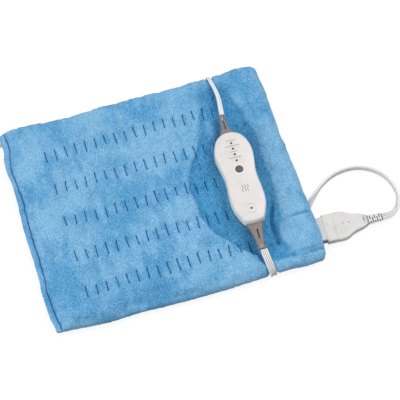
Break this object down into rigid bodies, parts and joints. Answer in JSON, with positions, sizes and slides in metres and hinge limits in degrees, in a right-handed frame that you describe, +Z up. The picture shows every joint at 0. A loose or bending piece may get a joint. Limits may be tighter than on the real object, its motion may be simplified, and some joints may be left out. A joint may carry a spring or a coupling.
{
  "type": "heating pad with controller",
  "caption": "Flat plush heating pad with a hand controller strapped across it, a pull-off connector at its edge and a stored mains lead.",
  "frame": {"origin": "centre of the pad's flat underside", "axes": "+X along the pad's long side towards the connector, +Y towards the edge that the mains cord goes over, +Z up"},
  "size_m": [0.6291, 0.3261, 0.0429],
  "materials": {
    "plush": "short brushed blue plush",
    "felt": "white felt",
    "wire": "insulated wire",
    "steel": "plated steel",
    "white_plastic": "satin white moulding",
    "grey_rubber": "warm grey flexible moulding",
    "button_rubber": "dark grey soft button",
    "lamp": "dark lens, unlit",
    "cord_vinyl": "white vinyl jacket",
    "brass": "bare brass",
    "board": "green laminate",
    "black_resin": "black moulded resin"
  },
  "bodies": {
    "root": {"cover_upper_panel": "plush", "cover_lower_panel": "plush", "felt_lower": "felt", "felt_upper": "felt", "heating_wire": "wire", "thermostat_1": "steel", "thermostat_2": "steel", "inlet_lead_live": "wire", "inlet_lead_return": "wire", "inlet_housing": "white_plastic", "inlet_pin_1": "brass", "inlet_pin_2": "brass", "inlet_pin_3": "brass", "controller_upper_shell": "white_plastic", "controller_lower_shell": "grey_rubber", "mains_boot": "grey_rubber", "pad_boot": "grey_rubber", "controller_screw_1": "steel", "controller_screw_2": "steel", "controller_screw_3": "steel", "controller_screw_4": "steel", "circuit_board": "board", "control_chip": "black_resin", "relay": "black_resin", "capacitor": "black_resin", "switch_body": "black_resin", "led_1": "lamp", "led_2": "lamp", "led_3": "lamp", "led_4": "lamp", "led_5": "lamp", "pad_cord": "cord_vinyl", "mains_cord_run": "cord_vinyl", "mains_cord_coil": "cord_vinyl", "cord_tie": "black_resin", "mains_plug_body": "cord_vinyl", "plug_blade_narrow": "brass", "plug_blade_wide": "brass"},
    "button": {"power_button": "button_rubber", "switch_plunger": "white_plastic"},
    "connector": {"connector_upper_shell": "white_plastic", "connector_lower_shell": "white_plastic", "connector_strain_relief": "white_plastic", "contact_block": "white_plastic", "contact_1": "brass", "contact_2": "brass", "contact_3": "brass"}
  },
  "joints": [
    {"name": "button_press", "type": "slide", "parent": "root", "child": "button", "axis": [0, 0, -1], "range_m": [0, 0.0008], "stiffness_N_per_m": 400, "springref_m": -0.0004},
    {"name": "connector_pull", "type": "slide", "parent": "root", "child": "connector", "axis": [0.9986, -0.0523, 0], "range_m": [0, 0.018], "deforming": ["pad_cord"]}
  ]
}
